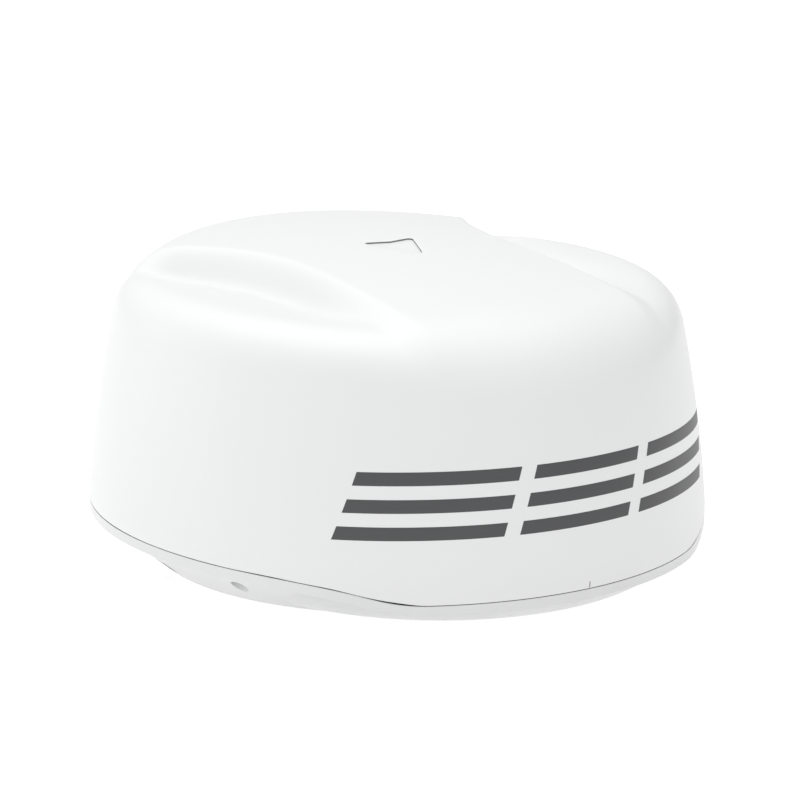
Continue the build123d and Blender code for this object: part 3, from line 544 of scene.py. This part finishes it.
FINISHES = {
    "white_shell": shader("white_shell", (0.74, 0.745, 0.745), 0.36, coat=0.06, mottle=0.012, bump=0.012,
                          low_darkening=0.1, uneven=0.03),
    "pan_white": shader("pan_white", (0.69, 0.695, 0.70), 0.34, coat=0.1, mottle=0.03, bump=0.03, low_darkening=0.25),
    "graphic_grey": shader("graphic_grey", (0.064, 0.065, 0.068), 0.42, mottle=0.12, bump=0.04),
    # Dark grey for the arrowhead's recess wall: a painted shadow line, not a colour of the cover.
    "arrow_recess_shadow": shader("arrow_recess_shadow", (0.2, 0.2, 0.205), 0.5, mottle=0.1, bump=0.04),
    "seal_rubber": shader("seal_rubber", (0.03, 0.03, 0.032), 0.7, mottle=0.2, bump=0.1),
    "stainless": shader("stainless", (0.62, 0.62, 0.61), 0.28, metal=1.0, streak=1.0, bump=0.05),
    "brass_insert": shader("brass_insert", (0.78, 0.6, 0.3), 0.32, metal=1.0, mottle=0.15, bump=0.05),
    "connector_black": shader("connector_black", (0.035, 0.035, 0.038), 0.5, mottle=0.15, bump=0.08),
    "contact_gold": shader("contact_gold", (0.85, 0.63, 0.28), 0.2, metal=1.0, mottle=0.06),
    "cast_aluminium": shader("cast_aluminium", (0.6, 0.61, 0.62), 0.48, metal=1.0, grain=500.0, bump=0.35,
                             mottle=0.1),
    "sheet_aluminium": shader("sheet_aluminium", (0.72, 0.73, 0.74), 0.34, metal=1.0, streak=1.0, bump=0.08),
    "circuit_board": shader("circuit_board", (0.02, 0.16, 0.07), 0.36, mottle=0.2, bump=0.08, coat=0.2),
    "chip_black": shader("chip_black", (0.03, 0.03, 0.032), 0.55, mottle=0.15, bump=0.1),
    "tin_shield": shader("tin_shield", (0.7, 0.7, 0.68), 0.3, metal=1.0, mottle=0.12, bump=0.06),
    "lead_black": shader("lead_black", (0.03, 0.03, 0.033), 0.45, mottle=0.15, bump=0.06),
    "motor_black": shader("motor_black", (0.05, 0.05, 0.055), 0.4, mottle=0.15, bump=0.12),
    "gear_nylon": shader("gear_nylon", (0.76, 0.74, 0.66), 0.42, mottle=0.06, bump=0.05),
    "magnet": shader("magnet", (0.5, 0.5, 0.51), 0.25, metal=1.0, mottle=0.08),
    "foam_core": shader("foam_core", (0.8, 0.78, 0.7), 0.8, mottle=0.08, grain=350.0, bump=0.5),
    "copper": shader("copper", (0.8, 0.42, 0.25), 0.26, metal=1.0, mottle=0.12, bump=0.04),
    "moulded_grey": shader("moulded_grey", (0.24, 0.25, 0.27), 0.5, mottle=0.1, bump=0.1),
}

GROUPS = {
    "pan_white": ["lower_housing"],
    "brass_insert": ["cover_inserts"],
    "seal_rubber": ["housing_gasket", "screw_seals", "connector_seals"],
    "stainless": ["cover_screws", "mount_inserts", "chassis_screws", "board_screws", "pedestal_screws",
                  "lower_bearing", "upper_bearing", "motor_screws", "spindle", "spindle_ring", "gear_screws",
                  "hub_screws", "motor_shaft", "motor_pinion"],
    "connector_black": ["power_connector", "network_connector", "connector_nuts", "breather_vent"],
    "contact_gold": ["power_contacts", "network_contacts"],
    "sheet_aluminium": ["chassis_plate", "rotary_joint_stator", "antenna_backplate", "panel_rivets",
                        "rotary_joint_rotor"],
    "circuit_board": ["main_board", "antenna_panel"],
    "chip_black": ["board_chips"],
    "moulded_grey": ["board_headers", "position_sensor", "antenna_end_caps"],
    "tin_shield": ["transceiver_shield"],
    "lead_black": ["power_lead", "network_lead", "rf_lead", "motor_lead", "antenna_feed"],
    "cast_aluminium": ["pedestal", "antenna_hub"],
    "motor_black": ["motor_body"],
    "gear_nylon": ["drive_gear"],
    "magnet": ["index_magnet"],
    "foam_core": ["antenna_core"],
    "copper": ["antenna_patches"],
}


def wear(obj, finish):
    """Gives an object one finish and no other."""
    obj.data.materials.clear()
    obj.data.materials.append(FINISHES[finish])


for finish, nodes in GROUPS.items():
    for node in nodes:
        wear(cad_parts[node], finish)

cover, arrow_shadow_faces = build_cover()
wear(cover, "white_shell")
# The arrowhead's recess wall gets the dark grey: a painted shadow line along the recess edge.
cover.data.materials.append(FINISHES["arrow_recess_shadow"])
for number in arrow_shadow_faces:
    cover.data.polygons[number].material_index = 1
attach(cover, "radome")
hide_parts("radome_cover")

stripes = build_stripes()
wear(stripes, "graphic_grey")
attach(stripes, "radome")
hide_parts("side_graphic")


# ============================ stage and light, in metres ====================================
def floor_mesh():
    half = 30.0
    mesh = bpy.data.meshes.new("floor")
    corners = [(-half, -half, 0), (half, -half, 0), (half, half, 0), (-half, half, 0)]
    mesh.from_pydata(corners, [], [(0, 1, 2, 3)])
    obj = bpy.data.objects.new("floor", mesh)
    bpy.context.scene.collection.objects.link(obj)
    return obj


def floor_finish():
    mat = bpy.data.materials.new("studio_floor")
    mat.use_nodes = True
    tree = mat.node_tree
    body = tree.nodes["Principled BSDF"]
    noise = tree.nodes.new("ShaderNodeTexNoise")
    noise.inputs["Scale"].default_value = 3.0
    ramp = tree.nodes.new("ShaderNodeMapRange")
    ramp.inputs["To Min"].default_value = 0.85
    ramp.inputs["To Max"].default_value = 0.95
    tree.links.new(noise.outputs["Fac"], ramp.inputs["Value"])
    tree.links.new(ramp.outputs["Result"], body.inputs["Roughness"])
    body.inputs["Base Color"].default_value = (0.3, 0.3, 0.3, 1.0)
    body.inputs["Specular IOR Level"].default_value = 0.0
    body.inputs["Emission Color"].default_value = (1.0, 1.0, 1.0, 1.0)
    body.inputs["Emission Strength"].default_value = 0.82
    return mat


floor = floor_mesh()
floor.data.materials.append(floor_finish())

# The studio's light: an even level, and lobes (direction, how narrow, how strong) that add or take away.
SKY_LEVEL = 0.70
SKY_LOBES = (
    ((0.0, 0.0, 1.0), 4.0, 1.65),
    ((-0.78, 0.62, 0.1), 3.0, 0.38),
    ((0.93, -0.36, 0.0), 2.0, -0.3),
)

world = bpy.data.worlds.new("studio")
world.use_nodes = True
sky = world.node_tree
backdrop = sky.nodes["Background"]
backdrop.inputs["Color"].default_value = (1.0, 1.0, 1.0, 1.0)
heading = sky.nodes.new("ShaderNodeTexCoord")


def sky_lobe(direction, power, strength, before):
    """Adds light from one direction to the output before, or to the even level where that is None."""
    dot = sky.nodes.new("ShaderNodeVectorMath")
    dot.operation = "DOT_PRODUCT"
    dot.inputs[1].default_value = direction
    sky.links.new(heading.outputs["Generated"], dot.inputs[0])
    facing = sky.nodes.new("ShaderNodeMath")
    facing.operation = "MAXIMUM"
    facing.inputs[1].default_value = 0.0
    sky.links.new(dot.outputs["Value"], facing.inputs[0])
    lobe = sky.nodes.new("ShaderNodeMath")
    lobe.operation = "POWER"
    lobe.inputs[1].default_value = power
    sky.links.new(facing.outputs["Value"], lobe.inputs[0])
    total = sky.nodes.new("ShaderNodeMath")
    total.operation = "MULTIPLY_ADD"
    total.inputs[1].default_value = strength
    sky.links.new(lobe.outputs["Value"], total.inputs[0])
    if before is None:
        total.inputs[2].default_value = SKY_LEVEL
    else:
        sky.links.new(before, total.inputs[2])
    return total.outputs["Value"]


level = None
for lobe in SKY_LOBES:
    level = sky_lobe(*lobe, level)
sky.links.new(level, backdrop.inputs["Strength"])
bpy.context.scene.world = world


def softbox(name, place, aim, width, height, power):
    data = bpy.data.lights.new(name, "AREA")
    data.shape = "RECTANGLE"
    data.size, data.size_y = width, height
    data.energy = power
    obj = bpy.data.objects.new(name, data)
    obj.location = place
    obj.rotation_mode = "QUATERNION"
    obj.rotation_quaternion = (Vector(aim) - Vector(place)).to_track_quat("-Z", "Y")
    bpy.context.scene.collection.objects.link(obj)


softbox("top_box", (0.0, 0.3, 2.6), (0, 0, 0.15), 2.4, 2.4, 4.0)
softbox("left_box", (-1.9, 1.4, 0.5), (0, 0, 0.12), 2.2, 1.0, 3.0)

# The camera stands off the starboard bow, ELEVATION above the seam's reference level as seen from the
# centre, and is aimed a little above that centre, at LOOK_DOWN below the horizontal.
AZIMUTH, ELEVATION, DISTANCE = radians(34.5), radians(15.0), 1.9988
LOOK_DOWN, LOOK_ASIDE = radians(12.829), radians(0.0645)

camera_data = bpy.data.cameras.new("camera")
camera_data.lens = 108.0
camera_data.sensor_width = 36.0
camera = bpy.data.objects.new("camera", camera_data)
camera.location = (-sin(AZIMUTH) * cos(ELEVATION) * DISTANCE, -cos(AZIMUTH) * cos(ELEVATION) * DISTANCE,
                   REF_Z * MM + sin(ELEVATION) * DISTANCE)
camera.rotation_euler = (radians(90.0) - LOOK_DOWN, 0.0, -AZIMUTH - LOOK_ASIDE)
bpy.context.scene.collection.objects.link(camera)
bpy.context.scene.camera = camera
bpy.context.scene.view_settings.view_transform = "Standard"
